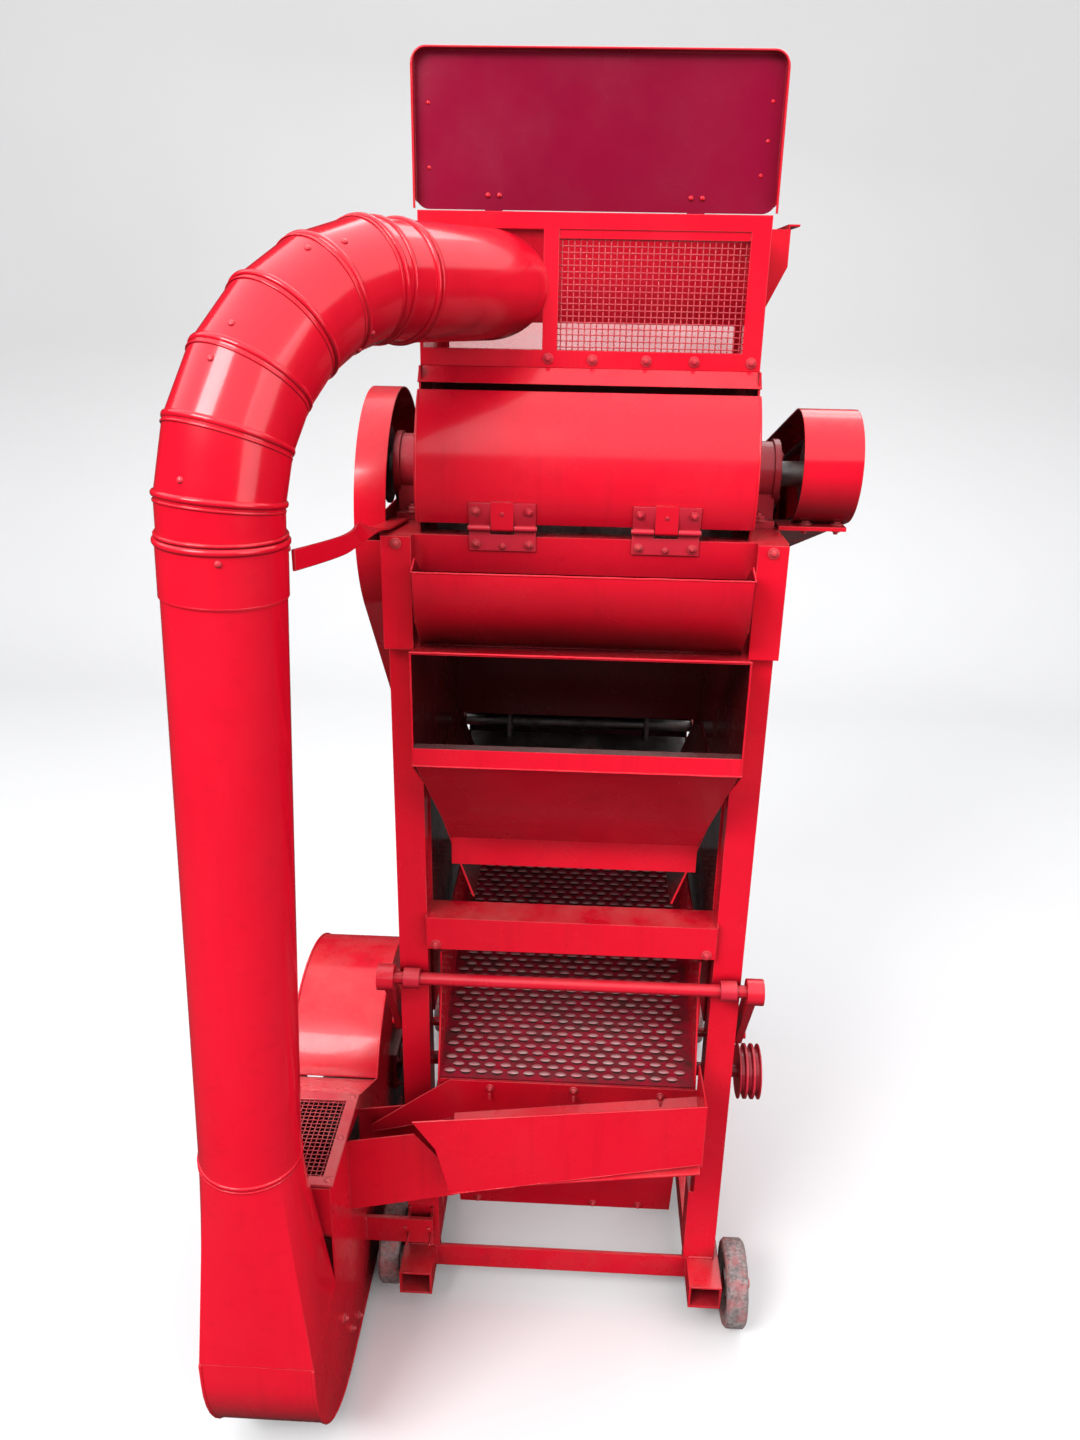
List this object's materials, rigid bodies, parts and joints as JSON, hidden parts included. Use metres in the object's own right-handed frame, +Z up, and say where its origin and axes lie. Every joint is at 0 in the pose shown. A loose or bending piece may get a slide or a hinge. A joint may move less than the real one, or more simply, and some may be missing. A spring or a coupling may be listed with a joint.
{
  "type": "peanut sheller",
  "caption": "Wheeled floor-standing sheller: covered drum on a tall tube frame, shaking louvred sieve, front outlet, lift blower and a bent return pipe to the lidded top box.",
  "frame": {"origin": "on the floor under the middle of the whole machine", "axes": "+Z up, -Y the front with the shell outlet, +X the right as seen from the front"},
  "size_m": [0.986, 1.355, 2.223],
  "materials": {
    "frame_red": "gloss",
    "panel_red": "gloss",
    "pipe_red": "gloss",
    "sieve_red": "gloss",
    "hinge_red": "gloss",
    "bearing_red": "gloss",
    "mesh_red": "gloss",
    "pulley_iron": "rough",
    "rotor_steel": "satin",
    "shaft_steel": "satin",
    "motor_grey": "satin",
    "belt_rubber": "matte",
    "wheel_grey": "rough"
  },
  "bodies": {
    "frame": {"back_panel": "panel_red", "base_crossbars": "frame_red", "base_rails": "frame_red", "blower_bearing": "bearing_red", "blower_casing": "panel_red", "blower_grille": "mesh_red", "blower_struts": "frame_red", "box_frame": "panel_red", "box_panels": "panel_red", "cover_hinges": "hinge_red", "drive_belt": "belt_rubber", "drum_bearings": "bearing_red", "drum_housing": "panel_red", "fan_belt": "belt_rubber", "feed_hopper": "panel_red", "front_columns": "frame_red", "front_legs": "frame_red", "guard_left_lower": "panel_red", "guard_left_upper": "panel_red", "guard_right": "panel_red", "inner_funnel": "panel_red", "lid_hinges": "hinge_red", "lower_skirt": "panel_red", "mesh_panel": "mesh_red", "motor": "motor_grey", "motor_bracket": "frame_red", "pipe_elbow": "pipe_red", "pipe_sleeve": "pipe_red", "pipe_strap": "panel_red", "pipe_transition": "pipe_red", "rear_legs": "frame_red", "return_trough": "panel_red", "riser_pipe": "pipe_red", "shaft_bearings": "bearing_red", "shell_outlet": "panel_red", "side_panels": "panel_red", "top_frame": "frame_red", "tray_beam": "frame_red", "upper_trough": "panel_red", "wheel_axles": "frame_red", "winnow_bearings": "bearing_red", "winnow_casing": "panel_red"},
    "lid": {"lid": "panel_red"},
    "drum_cover": {"drum_cover": "panel_red"},
    "drum": {"drum_rotor": "rotor_steel", "drum_pulleys": "pulley_iron"},
    "winnow_fan": {"winnow_rotor": "rotor_steel"},
    "motor_shaft": {"motor_pulley": "pulley_iron"},
    "blower_fan": {"blower_impeller": "rotor_steel", "blower_pulley": "pulley_iron"},
    "sieve": {"sieve_box": "panel_red", "sieve_deck": "sieve_red", "discharge_chute": "panel_red"},
    "rocker": {"rocker_shaft": "shaft_steel"},
    "eccentric": {"eccentric_shaft": "shaft_steel"},
    "front_left_wheel": {"wheel_front_left": "wheel_grey"},
    "front_right_wheel": {"wheel_front_right": "wheel_grey"},
    "rear_left_wheel": {"wheel_rear_left": "wheel_grey"},
    "rear_right_wheel": {"wheel_rear_right": "wheel_grey"}
  },
  "joints": [
    {"name": "lid_hinge", "type": "hinge", "parent": "frame", "child": "lid", "pos_m": [0.073, 0.0235, 1.995], "axis": [1, 0, 0], "range_deg": [0, 90]},
    {"name": "cover_hinge", "type": "hinge", "parent": "frame", "child": "drum_cover", "pos_m": [0.073, -0.2665, 1.55], "axis": [1, 0, 0], "range_deg": [0, 90]},
    {"name": "drum_spin", "type": "hinge", "parent": "frame", "child": "drum", "pos_m": [0.073, -0.0875, 1.615], "axis": [1, 0, 0], "continuous": true},
    {"name": "winnow_spin", "type": "hinge", "parent": "frame", "child": "winnow_fan", "pos_m": [0.073, 0.3825, 0.99], "axis": [1, 0, 0], "continuous": true},
    {"name": "motor_spin", "type": "hinge", "parent": "frame", "child": "motor_shaft", "pos_m": [0.373, 0.4445, 1.468], "axis": [1, 0, 0], "continuous": true},
    {"name": "blower_spin", "type": "hinge", "parent": "frame", "child": "blower_fan", "pos_m": [-0.357, 0.1125, 0.28], "axis": [1, 0, 0], "continuous": true},
    {"name": "sieve_shake", "type": "slide", "parent": "frame", "child": "sieve", "axis": [0, 0.8696, 0.4937], "range_m": [-0.006, 0.006]},
    {"name": "rocker_turn", "type": "hinge", "parent": "frame", "child": "rocker", "pos_m": [0.073, -0.2755, 0.755], "axis": [1, 0, 0], "range_deg": [-2.5, 2.5]},
    {"name": "eccentric_spin", "type": "hinge", "parent": "frame", "child": "eccentric", "pos_m": [0.073, -0.1725, 0.505], "axis": [1, 0, 0], "continuous": true},
    {"name": "front_left_wheel_spin", "type": "hinge", "parent": "frame", "child": "front_left_wheel", "pos_m": [-0.268, -0.2125, 0.08], "axis": [1, 0, 0], "continuous": true},
    {"name": "front_right_wheel_spin", "type": "hinge", "parent": "frame", "child": "front_right_wheel", "pos_m": [0.414, -0.2755, 0.08], "axis": [1, 0, 0], "continuous": true},
    {"name": "rear_left_wheel_spin", "type": "hinge", "parent": "frame", "child": "rear_left_wheel", "pos_m": [-0.268, 0.5925, 0.08], "axis": [1, 0, 0], "continuous": true},
    {"name": "rear_right_wheel_spin", "type": "hinge", "parent": "frame", "child": "rear_right_wheel", "pos_m": [0.414, 0.5925, 0.08], "axis": [1, 0, 0], "continuous": true}
  ],
  "couplings": [
    {"joint": "motor_spin", "follows": "drum_spin", "ratio": 1.16},
    {"joint": "winnow_spin", "follows": "drum_spin", "ratio": 1},
    {"joint": "rocker_turn", "follows": "sieve_shake", "rad_per_m": 5.61}
  ]
}
